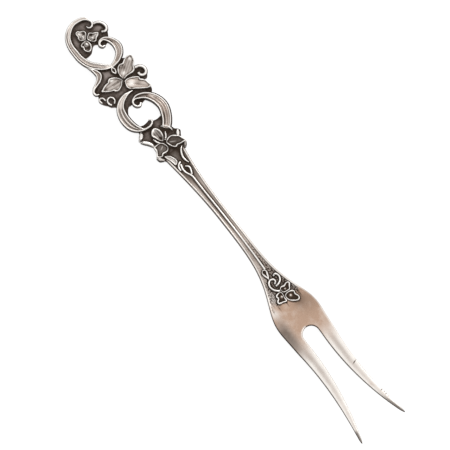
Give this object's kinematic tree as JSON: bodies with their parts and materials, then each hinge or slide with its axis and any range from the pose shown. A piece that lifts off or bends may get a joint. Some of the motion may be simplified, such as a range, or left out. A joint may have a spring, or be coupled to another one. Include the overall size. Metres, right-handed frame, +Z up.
{
  "type": "cold meat fork",
  "caption": "Serving fork for sliced meat: splayed tines on a broad head, an arched reeded stem and a pierced handle of scrolls, leaves and blossoms in antique silver.",
  "frame": {"origin": "under the middle of the fork's box, on the table that the flat back of the handle and the heel of the head lie on", "axes": "+X from the crest of the handle to the points of the tines, +Y across the fork, +Z up out of its decorated face"},
  "size_m": [0.19, 0.022, 0.0092],
  "materials": {
    "relief_silver": "raised silver ornament, worn bright on its edges with dark tarnish left in its hollows",
    "ground_silver": "silver ground of the handle, matted and darkened with tarnish, plain and worn on its back",
    "worn_silver": "satin worn silver with fine scratches and a faint warm tarnish"
  },
  "bodies": {
    "root": {"handle_plate": "ground_silver", "crest_petal_upper": "relief_silver", "crest_petal_left": "relief_silver", "crest_petal_right": "relief_silver", "middle_leaf_upper": "relief_silver", "middle_leaf_right": "relief_silver", "middle_leaf_lower": "relief_silver", "throat_petal_left": "relief_silver", "throat_petal_upper": "relief_silver", "throat_petal_lower": "relief_silver", "ring_collar": "relief_silver", "upper_left_scroll": "relief_silver", "upper_right_scroll": "relief_silver", "branch_scroll": "relief_silver", "ring_right_scroll": "relief_silver", "ring_left_scroll": "relief_silver", "bud": "relief_silver", "crest_curl": "relief_silver", "middle_upper_curl": "relief_silver", "middle_lower_curl_large": "relief_silver", "middle_lower_curl_small": "relief_silver", "throat_sepal_upper": "relief_silver", "throat_sepal_lower": "relief_silver", "throat_bead": "relief_silver", "throat_leaf_lower": "relief_silver", "throat_leaf_corner": "relief_silver", "throat_knob_upper": "relief_silver", "throat_knob_lower": "relief_silver", "head_drop": "relief_silver", "head_petal_left": "relief_silver", "head_petal_right": "relief_silver", "head_petal_lower": "relief_silver", "head_curl_large": "relief_silver", "head_curl_small": "relief_silver", "stem_leaf_upper": "relief_silver", "stem_leaf_lower": "relief_silver", "stem_leaf_small": "relief_silver", "stem_tear": "relief_silver", "stem_reed": "relief_silver", "stem": "worn_silver", "head": "worn_silver", "tine_left": "worn_silver", "tine_right": "worn_silver"}
  },
  "joints": []
}
